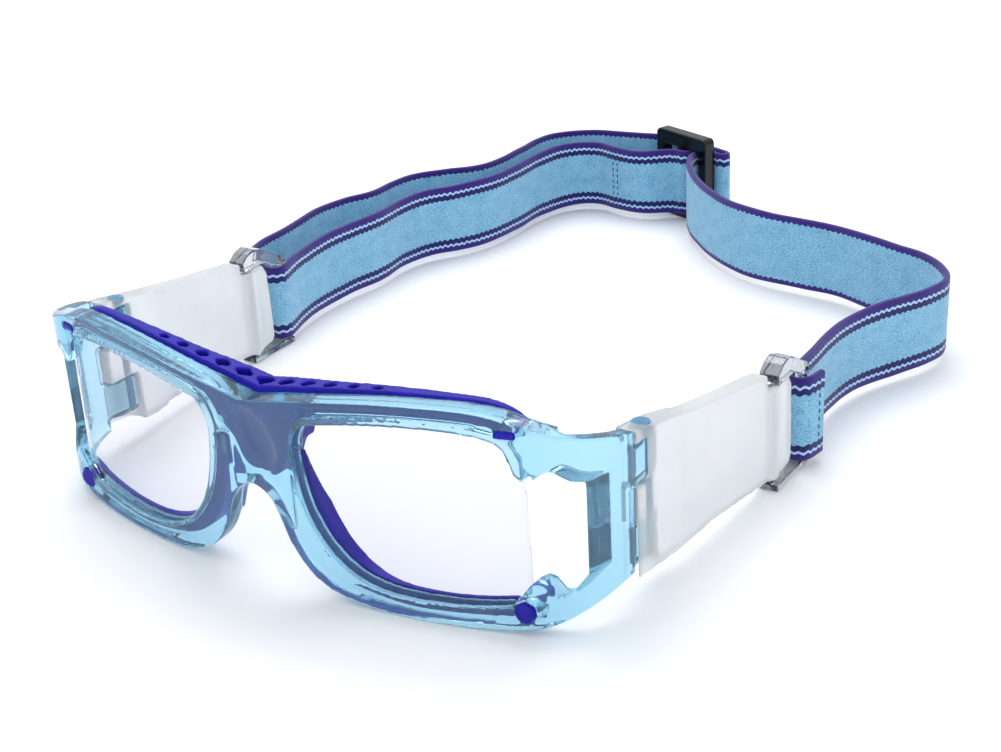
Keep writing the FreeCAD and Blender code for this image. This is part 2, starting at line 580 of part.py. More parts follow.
def strap():
    """One length of webbing: sewn end on the slider, forward to the left buckle, back outside
    it, through the slider, and round the right side to its other sewn end."""
    far = SLIDER_THICK / 2 + WEB_GAP + STRAP_THICK / 2
    slot = SLIDER_LENGTH / 2 - SLIDER_END_BAR - 2.1
    past = SLIDER_LENGTH / 2 + 0.7
    points = centre_bar_loop(165, -95, 6)
    points += [at(x, y) for x, y in INNER_PLY[::-1]]
    points += buckle_loop(-1, 6, -65, -215)
    points += [at(x, y) for x, y in OUTER_PLY]
    points += [at_slider(-10.0, far + 2.2), at_slider(0, far + 2.6), at_slider(past - 2.6, far + 3.2),
               at_slider(past + 0.4, far + 3.1), at_slider(past + 1.6, far + 1.7),
               at_slider(past + 0.4, far + 0.3), at_slider(past - 2.6, far + 0.25),
               at_slider(slot + 1.5, far - 0.1), at_slider(slot + 0.3, far - 1.4),
               at_slider(slot, 0.0), at_slider(slot, -SLIDER_THICK / 2)]
    points += [at(x, y) for x, y in FRONT_RUN]
    points += buckle_loop(1, 6, -80, -260)
    points += [at(79.2, 92.0)]
    return one_solid(band(points, STRAP_LIFT, STRAP_TOP, STRAP_THICK))


# ---- files ------------------------------------------------------------------------------------
def build():
    lens = right_lens()
    cheek = right_cheek_pad()
    temple = right_temple()
    pin = right_pin()
    buckle = right_buckle()
    return {
        "front_frame": front_frame(),
        "lens_right": lens,
        "lens_left": mirrored(lens),
        "brow_pad": brow_pad(),
        "cheek_pad_right": cheek,
        "cheek_pad_left": mirrored(cheek),
        "temple_right": temple,
        "temple_left": mirrored(temple),
        "hinge_pin_right": pin,
        "hinge_pin_left": mirrored(pin),
        "strap_buckle_right": buckle,
        "strap_buckle_left": mirrored(buckle),
        "strap": strap(),
        "slider": slider(),
    }


os.makedirs("parts", exist_ok=True)
for name, shape in build().items():
    if not shape.isValid() or len(shape.Solids) != 1:
        raise RuntimeError("%s is not one valid solid" % name)
    shape.exportStep(os.path.join("parts", name + ".step"))
    print("%-20s %9.1f mm3  %s" % (name, shape.Volume, shape.BoundBox))
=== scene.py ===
import json
import math

import bmesh
import bpy
from mathutils import Matrix, Vector


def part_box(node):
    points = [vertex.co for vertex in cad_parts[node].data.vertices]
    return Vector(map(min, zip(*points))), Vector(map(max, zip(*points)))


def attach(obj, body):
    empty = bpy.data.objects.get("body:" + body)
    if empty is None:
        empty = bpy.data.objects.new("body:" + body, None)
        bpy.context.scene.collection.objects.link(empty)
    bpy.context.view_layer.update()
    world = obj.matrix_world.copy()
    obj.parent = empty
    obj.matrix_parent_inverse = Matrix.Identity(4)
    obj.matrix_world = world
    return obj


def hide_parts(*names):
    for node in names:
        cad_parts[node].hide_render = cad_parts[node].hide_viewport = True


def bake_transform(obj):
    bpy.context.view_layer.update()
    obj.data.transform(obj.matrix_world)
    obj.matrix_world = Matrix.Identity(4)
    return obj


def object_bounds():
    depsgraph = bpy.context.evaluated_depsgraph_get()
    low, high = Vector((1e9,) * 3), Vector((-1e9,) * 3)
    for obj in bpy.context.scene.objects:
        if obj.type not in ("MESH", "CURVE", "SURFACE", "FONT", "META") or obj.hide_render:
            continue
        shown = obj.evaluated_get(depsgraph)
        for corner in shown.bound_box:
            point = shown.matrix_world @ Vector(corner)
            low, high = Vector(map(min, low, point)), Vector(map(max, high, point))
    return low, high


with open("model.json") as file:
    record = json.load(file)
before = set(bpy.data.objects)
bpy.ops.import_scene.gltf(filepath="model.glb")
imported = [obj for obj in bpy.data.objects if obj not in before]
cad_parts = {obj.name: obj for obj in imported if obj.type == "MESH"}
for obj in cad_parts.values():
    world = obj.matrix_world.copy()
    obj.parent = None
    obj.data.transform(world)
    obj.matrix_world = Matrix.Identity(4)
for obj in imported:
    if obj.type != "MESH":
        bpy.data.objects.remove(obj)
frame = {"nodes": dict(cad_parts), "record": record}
CAD_LOW, CAD_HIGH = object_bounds()

# Sports protective goggles. Metres; the front faces -Y, the strap runs back along +Y.

MM = 0.001

# ---- sizes of the webbing ------------------------------------------------------------
STRAP_THICK = 1.6 * MM
STRAP_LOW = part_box("strap")[0].z
STRAP_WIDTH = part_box("strap")[1].z - STRAP_LOW
WEB_GAP = 0.35 * MM          # webbing to the hard parts it passes
STRAP_STEP = 0.9 * MM        # columns of the webbing mesh
STRAP_ROWS = 9               # rows of the webbing mesh on each side
STRAP_SEAM = 0.05 * MM        # first and last column of a length, where lengths meet
STRAP_ROUND = 0.55 * MM      # rounding of the webbing's edges

# ---- places read from the frame --------------------------------------------------------
BAR_RADIUS = 1.4 * MM
BAR_SIDE = 1.6 * MM          # buckle arms stand this far past their bars' centre lines
BUCKLE_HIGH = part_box("strap_buckle_right")[1]
REAR_BAR = Vector((BUCKLE_HIGH.x - BAR_SIDE, BUCKLE_HIGH.y - BAR_SIDE, 0))
SLIDER_LOW, SLIDER_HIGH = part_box("slider")
SLIDER_MIDDLE = Vector(((SLIDER_LOW.x + SLIDER_HIGH.x) / 2, (SLIDER_LOW.y + SLIDER_HIGH.y) / 2, 0))
SLIDER_ANGLE = math.radians(-20)
SLIDER_LENGTH = 22 * MM
SLIDER_THICK = 4 * MM
SLIDER_MID_BAR = 3.2 * MM
SLIDER_END_BAR = 3 * MM

# ---- bridge, grip bands and stitches ------------------------------------------------------
BRIDGE_BALL = Vector((8.6, 2.6, 8.8)) * MM    # half-axes of the ball that hollows the bridge
BRIDGE_PROUD = 1.0 * MM      # centre of the ball in front of the frame
BRIDGE_UP = 32.6 * MM
GRIP_WIDTH = 2.6 * MM
GRIP_HEIGHT = 18.0 * MM
GRIP_THICK = 0.12 * MM
GRIP_BUMP = 0.06 * MM
GRIP_IN = 4.1 * MM           # outer face of the frame to the band
GRIP_BACK = 20.5 * MM        # front of the frame to the middle of the band
GRIP_DOWN = 0.5 * MM         # middle of the band below the frame's half height
STITCH_PITCH = 1.9 * MM
STITCH_LENGTH = 1.25 * MM
STITCH_RADIUS = 0.22 * MM
STITCH_MARGIN = 1.5 * MM     # edge of the webbing to the first stitch
STITCH_LIFT = 0.02 * MM

# ---- camera ------------------------------------------------------------------------------
CAMERA_AZIMUTH = 34.36
CAMERA_ELEVATION = 25.2
CAMERA_ROLL = -3.28
CAMERA_DISTANCE = 0.395
CAMERA_TARGET = Vector((0.00899, 0.06784, 0.01611))
CAMERA_LENS = 60.49


# ---- materials ------------------------------------------------------------------------------
def new_material(name, **sockets):
    """A material with one principled shader; sockets are set by name, with _ for a space."""
    material = bpy.data.materials.new(name)
    material.use_nodes = True
    tree = material.node_tree
    shader = tree.nodes["Principled BSDF"]
    for socket, value in sockets.items():
        shader.inputs[socket.replace("_", " ")].default_value = value
    return material, tree, shader


def node(tree, kind, **values):
    """A node, with its own settings by name and its inputs by in_NAME."""
    made = tree.nodes.new("ShaderNode" + kind)
    for key, value in values.items():
        if key.startswith("in_"):
            made.inputs[key[3:].replace("_", " ")].default_value = value
        else:
            setattr(made, key, value)
    return made


def maths(tree, operation, a, b=None, c=None):
    """A maths node; a, b and c are numbers or outputs."""
    made = node(tree, "Math", operation=operation)
    for socket, value in zip(made.inputs, (a, b, c)):
        if value is None:
            continue
        if hasattr(value, "is_linked"):
            tree.links.new(value, socket)
        else:
            socket.default_value = value
    return made.outputs[0]


def ramp(tree, factor, stops, interpolation="LINEAR"):
    """A colour ramp over factor; stops are (place, colour)."""
    made = node(tree, "ValToRGB")
    band = made.color_ramp
    band.interpolation = interpolation
    while len(band.elements) < len(stops):
        band.elements.new(0.5)
    for element, (place, colour) in zip(band.elements, stops):
        element.position = place
        element.color = colour if len(colour) == 4 else (*colour, 1)
    tree.links.new(factor, made.inputs[0])
    return made.outputs[0]


def object_noise(tree, scale, detail=3.0, roughness=0.5, stretch=(1, 1, 1)):
    """Noise on object coordinates, scale in features per metre."""
    place = node(tree, "TexCoord")
    mapping = node(tree, "Mapping", in_Scale=stretch)
    noise = node(tree, "TexNoise", in_Scale=scale, in_Detail=detail, in_Roughness=roughness)
    tree.links.new(place.outputs["Object"], mapping.inputs[0])
    tree.links.new(mapping.outputs[0], noise.inputs["Vector"])
    return noise.outputs["Fac"]


def add_bump(tree, shader, height, distance, strength=1.0):
    bump = node(tree, "Bump", in_Distance=distance, in_Strength=strength)
    tree.links.new(height, bump.inputs["Height"])
    tree.links.new(bump.outputs[0], shader.inputs["Normal"])


def vary_roughness(tree, shader, factor, low, high):
    spread = node(tree, "MapRange", in_To_Min=low, in_To_Max=high)
    tree.links.new(factor, spread.inputs["Value"])
    tree.links.new(spread.outputs[0], shader.inputs["Roughness"])


def absorb(tree, colour, density):
    """Colour that deepens with the thickness of a clear plastic."""
    volume = node(tree, "VolumeAbsorption", in_Color=(*colour, 1), in_Density=density)
    tree.links.new(volume.outputs[0], tree.nodes["Material Output"].inputs["Volume"])


def frame_plastic():
    material, tree, shader = new_material(
        "frame_clear_blue", Base_Color=(0.60, 0.88, 0.98, 1), Transmission_Weight=0.93, IOR=1.38)
    vary_roughness(tree, shader, object_noise(tree, 260), 0.015, 0.06)
    add_bump(tree, shader, object_noise(tree, 900, 2), 0.03 * MM, 0.35)
    absorb(tree, (0.10, 0.58, 0.80), 90)
    return material


def lens_plastic():
    material, tree, shader = new_material(
        "lens_clear", Base_Color=(0.875, 0.87, 0.91, 1), Transmission_Weight=1.0, IOR=1.2)
    vary_roughness(tree, shader, object_noise(tree, 90, 4), 0.0, 0.02)
    return material


def pad_rubber():
    material, tree, shader = new_material(
        "pad_silicone", Specular_IOR_Level=0.2)
    grain = object_noise(tree, 2600, 2)
    cloud = object_noise(tree, 120, 3)
    colour = ramp(tree, cloud, [(0.3, (0.010, 0.006, 0.28)), (0.7, (0.018, 0.010, 0.40))])
    tree.links.new(colour, shader.inputs["Base Color"])
    vary_roughness(tree, shader, cloud, 0.36, 0.52)
    add_bump(tree, shader, grain, 0.02 * MM, 0.5)
    return material


def temple_plastic():
    material, tree, shader = new_material(
        "temple_frosted", IOR=1.38, Subsurface_Weight=0.2, Subsurface_Scale=0.003)
    cloud = object_noise(tree, 45, 4, 0.6)
    colour = ramp(tree, cloud, [(0.3, (0.80, 0.83, 0.85)), (0.7, (0.93, 0.945, 0.955))])
    tree.links.new(colour, shader.inputs["Base Color"])
    vary_roughness(tree, shader, cloud, 0.26, 0.40)
    add_bump(tree, shader, object_noise(tree, 3200, 2), 0.02 * MM, 0.4)
    # clearer at the hinge than towards the strap
    place = node(tree, "TexCoord")
    parts = node(tree, "SeparateXYZ")
    tree.links.new(place.outputs["Object"], parts.inputs[0])
    clarity = node(tree, "MapRange", in_From_Min=22 * MM, in_From_Max=42 * MM, in_To_Min=0.78,
                   in_To_Max=0.50)
    tree.links.new(parts.outputs[1], clarity.inputs["Value"])
    tree.links.new(clarity.outputs[0], shader.inputs["Transmission Weight"])
    return material


def pin_plastic():
    material, tree, shader = new_material(
        "pin_blue", Base_Color=(0.16, 0.45, 0.72, 1), Transmission_Weight=0.6, IOR=1.49)
    vary_roughness(tree, shader, object_noise(tree, 700), 0.08, 0.2)
    return material


def buckle_plastic():
    material, tree, shader = new_material(
        "buckle_clear", Base_Color=(0.86, 0.88, 0.90, 1), Transmission_Weight=1.0, IOR=1.56)
    vary_roughness(tree, shader, object_noise(tree, 800), 0.02, 0.09)
    add_bump(tree, shader, object_noise(tree, 420, 2), 0.12 * MM, 0.5)
    absorb(tree, (0.62, 0.64, 0.68), 170)
    return material


def slider_plastic():
    material, tree, shader = new_material(
        "slider_black", Base_Color=(0.003, 0.003, 0.005, 1), Specular_IOR_Level=0.35)
    vary_roughness(tree, shader, object_noise(tree, 500), 0.10, 0.22)
    add_bump(tree, shader, object_noise(tree, 1500, 2), 0.02 * MM, 0.4)
    return material


def grip_plastic():
    material, tree, shader = new_material(
        "grip_stipple", Transmission_Weight=0.5, IOR=1.49)
    stipple = object_noise(tree, 1500, 2)
    colour = ramp(tree, stipple, [(0.35, (0.10, 0.42, 0.66)), (0.65, (0.32, 0.70, 0.86))])
    tree.links.new(colour, shader.inputs["Base Color"])
    vary_roughness(tree, shader, stipple, 0.25, 0.5)
    add_bump(tree, shader, stipple, 0.2 * MM, 0.8)
    return material


# the webbing's own UV map counts centimetres: along the strap, and up from its lower edge
SKY = (0.205, 0.475, 0.685)
SKY_LIGHT = (0.330, 0.610, 0.790)
SKY_DARK = (0.085, 0.265, 0.480)
NAVY = (0.012, 0.010, 0.120)
VIOLET = (0.030, 0.012, 0.185)
PALE = (0.420, 0.640, 0.880)


def webbing(name, striped):
    """Knitted elastic: heathered sky blue, with bands woven along both edges."""
    material, tree, shader = new_material(name, Sheen_Weight=0.25, Sheen_Roughness=0.5,
                                          Specular_IOR_Level=0.25)
    uv = node(tree, "UVMap", uv_map="webbing")
    parts = node(tree, "SeparateXYZ")
    tree.links.new(uv.outputs[0], parts.inputs[0])
    along, up = parts.outputs[0], parts.outputs[1]
    half = STRAP_WIDTH / 2 / (10 * MM)

    def woven_noise(u_scale, v_scale, detail):
        mapping = node(tree, "Mapping", in_Scale=(u_scale, v_scale, 1))
        noise = node(tree, "TexNoise", in_Scale=1.0, in_Detail=detail)
        tree.links.new(uv.outputs[0], mapping.inputs[0])
        tree.links.new(mapping.outputs[0], noise.inputs["Vector"])
        return noise.outputs["Fac"]

    flecks = woven_noise(16, 34, 3)
    cloud = woven_noise(2.2, 3.0, 2)
    heather = maths(tree, "MULTIPLY_ADD", flecks, 0.75, maths(tree, "MULTIPLY", cloud, 0.25))
    body = ramp(tree, heather, [(0.33, SKY_DARK), (0.47, SKY), (0.68, SKY_LIGHT)])

    # distance from the middle, with the small steps of the knitted border
    middle = maths(tree, "ABSOLUTE", maths(tree, "SUBTRACT", up, half))
    steps = maths(tree, "PINGPONG", along, 0.085)
    jitter = maths(tree, "MULTIPLY", woven_noise(9, 2, 1), 0.05)
    place = maths(tree, "ADD", middle, maths(tree, "MULTIPLY_ADD", steps, 0.6, jitter))
    place = maths(tree, "DIVIDE", place, 1.2)
    if striped:
        band = [(0.0, SKY), (0.560, NAVY), (0.690, PALE), (0.745, VIOLET)]
    else:
        band = [(0.0, SKY), (0.765, VIOLET)]
    border = ramp(tree, place, band, "CONSTANT")
    edge = maths(tree, "GREATER_THAN", place, band[1][0])
    mix = node(tree, "Mix", data_type="RGBA")
    tree.links.new(edge, mix.inputs[0])
    tree.links.new(body, mix.inputs[6])
    tree.links.new(border, mix.inputs[7])
    shade = node(tree, "Mix", data_type="RGBA", blend_type="MULTIPLY")
    shade.inputs[0].default_value = 0.35
    tree.links.new(mix.outputs[2], shade.inputs[6])
    tree.links.new(ramp(tree, flecks, [(0.3, (0.55, 0.55, 0.6)), (0.6, (1, 1, 1))]), shade.inputs[7])
    tree.links.new(shade.outputs[2], shader.inputs["Base Color"])

    # ribs of the knit, finer across the strap than along it
    rib = maths(tree, "SINE", maths(tree, "MULTIPLY", along, 2 * math.pi / 0.07))
    row = maths(tree, "SINE", maths(tree, "MULTIPLY", up, 2 * math.pi / 0.055))
    height = maths(tree, "MULTIPLY_ADD", rib, row, maths(tree, "MULTIPLY", flecks, 2.5))
    add_bump(tree, shader, height, 0.06 * MM, 0.7)
    vary_roughness(tree, shader, flecks, 0.75, 0.95)
    return material


def thread():
    material, tree, shader = new_material("stitch_thread", Roughness=0.7, Sheen_Weight=0.2)
    twist = object_noise(tree, 4000, 1)
    colour = ramp(tree, twist, [(0.3, (0.010, 0.020, 0.130)), (0.7, (0.030, 0.070, 0.260))])
    tree.links.new(colour, shader.inputs["Base Color"])
    return material


# ---- pieces made from CAD nodes -----------------------------------------------------------------
def link(name, mesh):
    piece = bpy.data.objects.new(name, mesh)
    bpy.context.scene.collection.objects.link(piece)
    return piece


def merged_copy(source, name):
    """A copy of a CAD node's mesh with its triangles joined, as a new object."""
    mesh = frame["nodes"][source].data.copy()
    mesh.materials.clear()
    work = bmesh.new()
    work.from_mesh(mesh)
    bmesh.ops.remove_doubles(work, verts=work.verts, dist=0.001 * MM)
    bmesh.ops.dissolve_degenerate(work, edges=work.edges, dist=0.0005 * MM)
    work.to_mesh(mesh)
    work.free()
    return link(name, mesh)


def set_smooth(mesh):
    mesh.polygons.foreach_set("use_smooth", [True] * len(mesh.polygons))


def bake_modifiers(piece):
    graph = bpy.context.evaluated_depsgraph_get()
    mesh = bpy.data.meshes.new_from_object(piece.evaluated_get(graph))
    piece.modifiers.clear()
    piece.data = mesh


def finish_piece(piece, source, material):
    """The material, the body that holds the CAD node the piece stands for, and that node hidden."""
    piece.data.materials.clear()
    piece.data.materials.append(material)
    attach(piece, body_with(source))
    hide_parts(source)
    return piece


def body_with(source):
    """The name of the body that holds a CAD node."""
    for body, nodes in frame["record"]["behaviour"]["bodies"].items():
        if source in nodes:
            return body
    raise ValueError(source)


def moulded(source, name, voxel, rounds, material, carve=None):
    """A CAD node with the soft edges of a moulding; carve works on it first."""
    piece = merged_copy(source, name)
    if carve is not None:
        carve(piece)
    remesh = piece.modifiers.new("remesh", "REMESH")
    remesh.mode = "VOXEL"
    remesh.voxel_size = voxel
    smooth = piece.modifiers.new("smooth", "SMOOTH")
    smooth.factor = 0.5
    smooth.iterations = rounds
    bake_modifiers(piece)
    set_smooth(piece.data)
    return finish_piece(piece, source, material)


def scoop_bridge(piece):
    """Hollow the front of the nose bridge with a flattened ball."""
    work = bmesh.new()
    ball = bmesh.ops.create_uvsphere(work, u_segments=64, v_segments=40, radius=1.0)["verts"]
    bmesh.ops.scale(work, vec=BRIDGE_BALL, verts=ball)
    bmesh.ops.translate(work, vec=(0, CAD_LOW.y - BRIDGE_PROUD, BRIDGE_UP), verts=ball)
    mesh = bpy.data.meshes.new("bridge_cutter")
    work.to_mesh(mesh)
    work.free()
    cutter = link("bridge_cutter", mesh)
    cut = piece.modifiers.new("scoop", "BOOLEAN")
    cut.operation = "DIFFERENCE"
    cut.object = cutter
    bake_modifiers(piece)
    bpy.data.objects.remove(cutter)


# ---- the strap's route --------------------------------------------------------------------------
def at_slider(along, out):
    """A plan point by its place along the slider and out through its thickness."""
    turn = Matrix.Rotation(SLIDER_ANGLE, 3, "Z")
    return SLIDER_MIDDLE + turn @ Vector((along, out, 0))


def sewn_end():
    """The sewn end round the slider's middle bar."""
    radius = math.hypot(SLIDER_MID_BAR / 2, SLIDER_THICK / 2) + WEB_GAP + STRAP_THICK / 2
    angles = [math.radians(165 - 260 * i / 6) for i in range(7)]
    return [at_slider(radius * math.cos(a), radius * math.sin(a)) for a in angles]


def bar_loop(side, start, stop):
    """A loop round the rear bar of a buckle, by angle from +Y."""
    radius = BAR_RADIUS + WEB_GAP + STRAP_THICK / 2
    angles = [math.radians(start + (stop - start) * i / 6) for i in range(7)]
    return [Vector((side * (REAR_BAR.x + radius * math.sin(a)), REAR_BAR.y + radius * math.cos(a), 0))
            for a in angles]


def slider_pass():
    """Behind the slider, back round its end bar and out through its slot."""
    far = SLIDER_THICK / 2 + WEB_GAP + STRAP_THICK / 2
    slot = SLIDER_LENGTH / 2 - SLIDER_END_BAR - 2.1 * MM
    past = SLIDER_LENGTH / 2 + 0.7 * MM
    steps = [(-10 * MM, far + 2.2 * MM), (0, far + 2.6 * MM), (past - 2.6 * MM, far + 3.2 * MM),
             (past + 0.4 * MM, far + 3.1 * MM), (past + 1.6 * MM, far + 1.7 * MM),
             (past + 0.4 * MM, far + 0.3 * MM), (past - 2.6 * MM, far + 0.25 * MM),
             (slot + 1.5 * MM, far - 0.1 * MM), (slot + 0.3 * MM, far - 1.4 * MM), (slot, 0),
             (slot, -SLIDER_THICK / 2)]
    return [at_slider(along, out) for along, out in steps]


def millimetres(points):
    return [Vector((x * MM, y * MM, 0)) for x, y in points]


INNER_PLY = millimetres([
    (-34, 214.2), (-42, 214.6), (-50.6, 216.4), (-57.6, 212), (-61.6, 200), (-62, 185),
    (-63.6, 173), (-68, 163), (-73.6, 155), (-75.8, 145), (-75.4, 133), (-77.4, 120),
    (-77.6, 108), (-76, 97)])
OUTER_PLY = millimetres([
    (-88, 92), (-91.2, 99), (-92, 110), (-93, 120), (-93.6, 130), (-92, 139), (-88.6, 147),
    (-88, 158), (-85.4, 167), (-79.6, 174), (-73.4, 180), (-70.4, 190), (-70, 202),
    (-69.6, 213), (-66.4, 221), (-60, 226.6), (-51, 229.4), (-42, 231)])
RIGHT_RUN = millimetres([
    (-16.2, 213.4), (-11.2, 205), (-4.4, 197), (4, 189.4), (13, 183.6), (23, 180.2),
    (36, 179), (47, 178), (57, 174.6), (66, 171.4), (75, 168), (82, 162), (85.2, 155),
    (84, 147.6), (80, 139), (76, 131), (73.2, 122), (72.4, 112), (73, 100)])
RIGHT_FLAP = millimetres([(79.2, 92)])

SECTIONS = [sewn_end(), INNER_PLY, bar_loop(-1, -65, -215), OUTER_PLY, slider_pass(), RIGHT_RUN,
            bar_loop(1, -80, -260), RIGHT_FLAP]
STARTS = [sum(len(section) for section in SECTIONS[:i]) for i in range(len(SECTIONS))]
_, INNER, _, OUTER, SLIDER, RIGHT, RIGHT_LOOP, FLAP = STARTS
CURVE_STEPS = 24             # samples between two points of the route


def strap_line():
    """The centre line of the whole strap as closely spaced points, CURVE_STEPS to a span."""
    route = [point for section in SECTIONS for point in section]
    data = bpy.data.curves.new("strap_route", "CURVE")
    data.dimensions = "3D"
    data.resolution_u = CURVE_STEPS
    spline = data.splines.new("BEZIER")
    spline.bezier_points.add(len(route) - 1)
    for knot, point in zip(spline.bezier_points, route):
        knot.co = point
        knot.handle_left_type = "AUTO"
        knot.handle_right_type = "AUTO"
    holder = bpy.data.objects.new("strap_route", data)
    bpy.context.scene.collection.objects.link(holder)
    bpy.context.view_layer.update()
    mesh = bpy.data.meshes.new_from_object(holder)
    line = [vertex.co.copy() for vertex in mesh.vertices]
    bpy.data.objects.remove(holder)
    bpy.data.meshes.remove(mesh)
    return line


LINE = strap_line()
RUN = [0.0]
for before, after in zip(LINE, LINE[1:]):
    RUN.append(RUN[-1] + (after - before).length)


def distance_at(knot):
    """Distance along the strap of one point of the route."""
    return RUN[min(round(knot * CURVE_STEPS), len(RUN) - 1)]


def strap_place(distance):
    """(point, direction) of the centre line at a distance along it."""
    low, high = 0, len(RUN) - 1
    while high - low > 1:
        middle = (low + high) // 2
        if RUN[middle] <= distance:
            low = middle
        else:
            high = middle
    span = RUN[high] - RUN[low]
    share = (distance - RUN[low]) / span if span > 0 else 0.0
    point = LINE[low].lerp(LINE[high], min(max(share, 0.0), 1.0))
    before = LINE[max(low - 2, 0)]
    after = LINE[min(high + 2, len(LINE) - 1)]
    return point, (after - before).normalized()


def section_outline():
    """Round-edged cross-section of the webbing, (across, up), from low on its left face."""
    half = STRAP_THICK / 2
    r = STRAP_ROUND
    flat = STRAP_WIDTH - 2 * r

    def corner(across, up, degrees):
        angles = [math.radians(d) for d in degrees]
        return [(across + r * math.cos(a), up + r * math.sin(a)) for a in angles]

    points = [(half, r + flat * i / (STRAP_ROWS - 1)) for i in range(STRAP_ROWS)]
    points += corner(half - r, STRAP_WIDTH - r, (35, 70))
    points += corner(r - half, STRAP_WIDTH - r, (110, 145))
    points += [(-half, STRAP_WIDTH - r - flat * i / (STRAP_ROWS - 1)) for i in range(STRAP_ROWS)]
    points += corner(r - half, r, (215, 250))
    points += corner(half - r, r, (290, 325))
    return points


def ripple(distance):
    """Slight rise and fall of the webbing's edges along its length."""
    return (0.10 * math.sin(distance / (7.3 * MM)) + 0.07 * math.sin(distance / (3.1 * MM) + 1.2)) * MM


def webbing_piece(name, first, last, face, back):
    """One length of the strap, between two distances along it; face is on its left."""
    outline = section_outline()
    count = max(4, math.ceil((last - first) / STRAP_STEP))
    stops = [first + (last - first) * i / count for i in range(count + 1)]
    stops = [first, first + STRAP_SEAM] + stops[1:-1] + [last - STRAP_SEAM, last]
    work = bmesh.new()
    uv = work.loops.layers.uv.new("webbing")
    u_layer = work.verts.layers.float.new("u")
    v_layer = work.verts.layers.float.new("v")
    side_layer = work.verts.layers.float.new("side")

    def settle(ring, distance):
        point, direction = strap_place(distance)
        left = Vector((-direction.y, direction.x, 0))
        for vertex, (across, up) in zip(ring, outline):
            lift = ripple(distance) * (2 * up / STRAP_WIDTH - 1)
            vertex.co = point + left * across + Vector((0, 0, STRAP_LOW + up + lift))
            vertex[u_layer] = distance / (10 * MM)
            vertex[v_layer] = up / (10 * MM)
            vertex[side_layer] = across

    ring = [work.verts.new((0, 0, i * MM)) for i in range(len(outline))]
    edges = [work.edges.new((a, b)) for a, b in zip(ring, ring[1:] + ring[:1])]
    settle(ring, stops[0])
    first_edges = edges
    for distance in stops[1:]:
        grown = bmesh.ops.extrude_edge_only(work, edges=edges)["geom"]
        new = {v for v in grown if isinstance(v, bmesh.types.BMVert)}
        partner = {}
        for edge in (e for v in new for e in v.link_edges):
            a, b = edge.verts
            if (a in new) != (b in new):
                partner[b if a in new else a] = a if a in new else b
        ring = [partner[v] for v in ring]
        edges = [work.edges.get((a, b)) for a, b in zip(ring, ring[1:] + ring[:1])]
        settle(ring, distance)
    for rim in (first_edges, edges):
        bmesh.ops.contextual_create(work, geom=rim)
    bmesh.ops.recalc_face_normals(work, faces=work.faces)
    for surface in work.faces:
        surface.smooth = len(surface.verts) == 4
        lean = sum(v[side_layer] for v in surface.verts)
        surface.material_index = 0 if lean > 0 else 1
        for loop in surface.loops:
            loop[uv].uv = (loop.vert[u_layer], loop.vert[v_layer])
    mesh = bpy.data.meshes.new(name)
    work.to_mesh(mesh)
    work.free()
    mesh.materials.append(face)
    mesh.materials.append(back)
    piece = link(name, mesh)
    return piece


def stitch_rows(name, distances, side, material):
    """Rows of short stitches up the webbing, on its left for side 1 and its right for -1."""
    work = bmesh.new()
    rise = STRAP_WIDTH - 2 * STITCH_MARGIN
    count = int(rise / STITCH_PITCH)
    for distance in distances:
        point, direction = strap_place(distance)
        left = Vector((-direction.y, direction.x, 0))
        place = point + left * side * (STRAP_THICK / 2 + STITCH_LIFT)
        for i in range(count + 1):
            up = STRAP_LOW + STITCH_MARGIN + i * rise / count
            made = bmesh.ops.create_icosphere(work, subdivisions=2, radius=STITCH_RADIUS)["verts"]
            bmesh.ops.scale(work, vec=(1, 1, STITCH_LENGTH / STITCH_RADIUS / 2), verts=made)
            bmesh.ops.translate(work, vec=place + Vector((0, 0, up)), verts=made)
    mesh = bpy.data.meshes.new(name)
    work.to_mesh(mesh)
    work.free()
    set_smooth(mesh)
    mesh.materials.append(material)
    piece = link(name, mesh)
    return piece


def build_strap():
    face = webbing("webbing_striped", True)
    back = webbing("webbing_plain", False)
    stitching = thread()
    slide_left = distance_at(INNER + 4)
    fold_left = distance_at(INNER + 11)
    fold_out = distance_at(OUTER + 3)
    rear_left = distance_at(OUTER + 15)
    tip = distance_at(SLIDER + 4)
    slide_right = distance_at(RIGHT + 4)
    fold_right = distance_at(RIGHT + 15)
    bar_right = distance_at(RIGHT_LOOP + 1)
    end = RUN[-1]
    lengths = {
        "strap_sewn_end": (0, slide_left, face, back),
        "strap_inner_ply": (slide_left, fold_left, face, back),
        "strap_loop_left": (fold_left, fold_out, face, back),
        "strap_outer_ply": (fold_out, rear_left, face, back),
        "strap_slider_ply": (rear_left, tip, face, back),
        "strap_slider_fold": (tip, slide_right, face, back),
        "strap_right_run": (slide_right, fold_right, face, back),
        "strap_buckle_run": (fold_right, bar_right, face, back),
        "strap_buckle_flap": (bar_right, end, face, face),
    }
    pieces = {name: webbing_piece(name, *values) for name, values in lengths.items()}
    end_row = stitch_rows("stitches_sewn_end", [distance_at(INNER + 0.95), distance_at(INNER + 1.12)],
                          1, stitching)
    flap_row = stitch_rows("stitches_flap", [distance_at(FLAP - 0.45)], -1, stitching)

    def place(knot):
        point = LINE[round(knot * CURVE_STEPS)]
        return Vector((point.x, point.y, STRAP_LOW))

    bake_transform(pieces["strap_sewn_end"])
    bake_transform(pieces["strap_inner_ply"])
    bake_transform(pieces["strap_outer_ply"])
    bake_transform(pieces["strap_slider_ply"])
    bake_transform(pieces["strap_slider_fold"])
    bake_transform(pieces["strap_right_run"])
    for name, body, other in (("strap_loop_left", "buckle_left", "side_plate_left"),
                              ("strap_buckle_run", "buckle_right", "side_plate_right")):
        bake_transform(pieces[name])
    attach(pieces["strap_buckle_flap"], "buckle_right")
    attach(end_row, "strap_slider")
    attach(flap_row, "buckle_right")
    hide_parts("strap")


